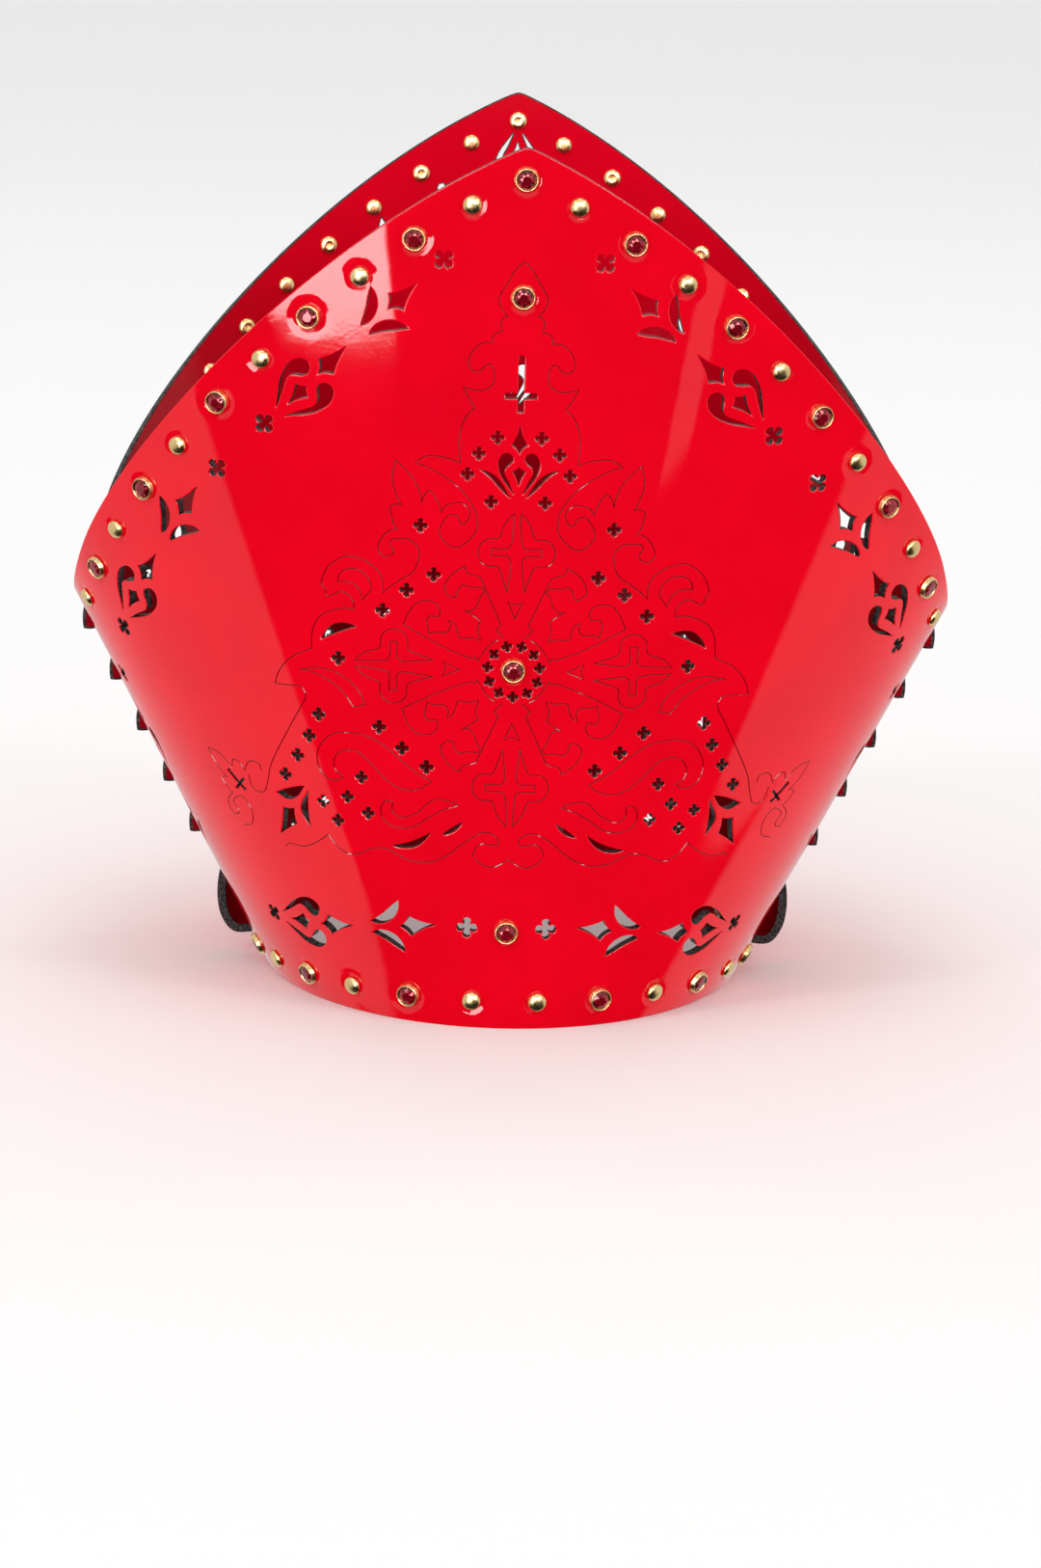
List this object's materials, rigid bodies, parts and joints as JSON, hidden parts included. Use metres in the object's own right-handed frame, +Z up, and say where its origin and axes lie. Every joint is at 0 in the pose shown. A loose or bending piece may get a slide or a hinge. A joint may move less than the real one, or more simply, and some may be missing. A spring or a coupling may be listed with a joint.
{
  "type": "bishop mitre",
  "caption": "Tall two-panel ceremonial mitre of bent, pierced and engraved patent leather, hooked together at the sides, with dome and crystal rivets along its edges.",
  "frame": {"origin": "middle of the rim's lower face, on the floor it stands on", "axes": "+Z up from the rim to the points, +X to the right across the width, -Y towards the front panel"},
  "size_m": [0.308, 0.227, 0.2999],
  "materials": {
    "patent_leather": "high-gloss red patent lacquer, dark burnished cut edges",
    "gold_metal": "polished gold-coloured plating",
    "red_crystal": "faceted foil-backed crystal in a polished gold-coloured bezel"
  },
  "bodies": {
    "root": {"front_panel": "patent_leather", "back_panel": "patent_leather", "front_crystal_rivet_01": "red_crystal", "front_crystal_rivet_02": "red_crystal", "front_crystal_rivet_03": "red_crystal", "front_crystal_rivet_04": "red_crystal", "front_crystal_rivet_05": "red_crystal", "front_crystal_rivet_06": "red_crystal", "front_crystal_rivet_07": "red_crystal", "front_crystal_rivet_08": "red_crystal", "front_crystal_rivet_09": "red_crystal", "front_crystal_rivet_10": "red_crystal", "front_crystal_rivet_11": "red_crystal", "front_crystal_rivet_12": "red_crystal", "front_crystal_rivet_13": "red_crystal", "front_crystal_rivet_14": "red_crystal", "front_crystal_rivet_15": "red_crystal", "front_crystal_rivet_16": "red_crystal", "front_crystal_rivet_17": "red_crystal", "front_crystal_rivet_18": "red_crystal", "front_crystal_rivet_19": "red_crystal", "front_crystal_rivet_20": "red_crystal", "back_crystal_rivet_01": "red_crystal", "back_crystal_rivet_02": "red_crystal", "back_crystal_rivet_03": "red_crystal", "back_crystal_rivet_04": "red_crystal", "back_crystal_rivet_05": "red_crystal", "back_crystal_rivet_06": "red_crystal", "back_crystal_rivet_07": "red_crystal", "back_crystal_rivet_08": "red_crystal", "back_crystal_rivet_09": "red_crystal", "back_crystal_rivet_10": "red_crystal", "back_crystal_rivet_11": "red_crystal", "back_crystal_rivet_12": "red_crystal", "back_crystal_rivet_13": "red_crystal", "back_crystal_rivet_14": "red_crystal", "back_crystal_rivet_15": "red_crystal", "back_crystal_rivet_16": "red_crystal", "back_crystal_rivet_17": "red_crystal", "back_crystal_rivet_18": "red_crystal", "back_crystal_rivet_19": "red_crystal", "back_crystal_rivet_20": "red_crystal", "front_dome_rivet_01": "gold_metal", "front_dome_rivet_02": "gold_metal", "front_dome_rivet_03": "gold_metal", "front_dome_rivet_04": "gold_metal", "front_dome_rivet_05": "gold_metal", "front_dome_rivet_06": "gold_metal", "front_dome_rivet_07": "gold_metal", "front_dome_rivet_08": "gold_metal", "front_dome_rivet_09": "gold_metal", "front_dome_rivet_10": "gold_metal", "front_dome_rivet_11": "gold_metal", "front_dome_rivet_12": "gold_metal", "front_dome_rivet_13": "gold_metal", "front_dome_rivet_14": "gold_metal", "front_dome_rivet_15": "gold_metal", "front_dome_rivet_16": "gold_metal", "front_dome_rivet_17": "gold_metal", "front_dome_rivet_18": "gold_metal"}
  },
  "joints": []
}
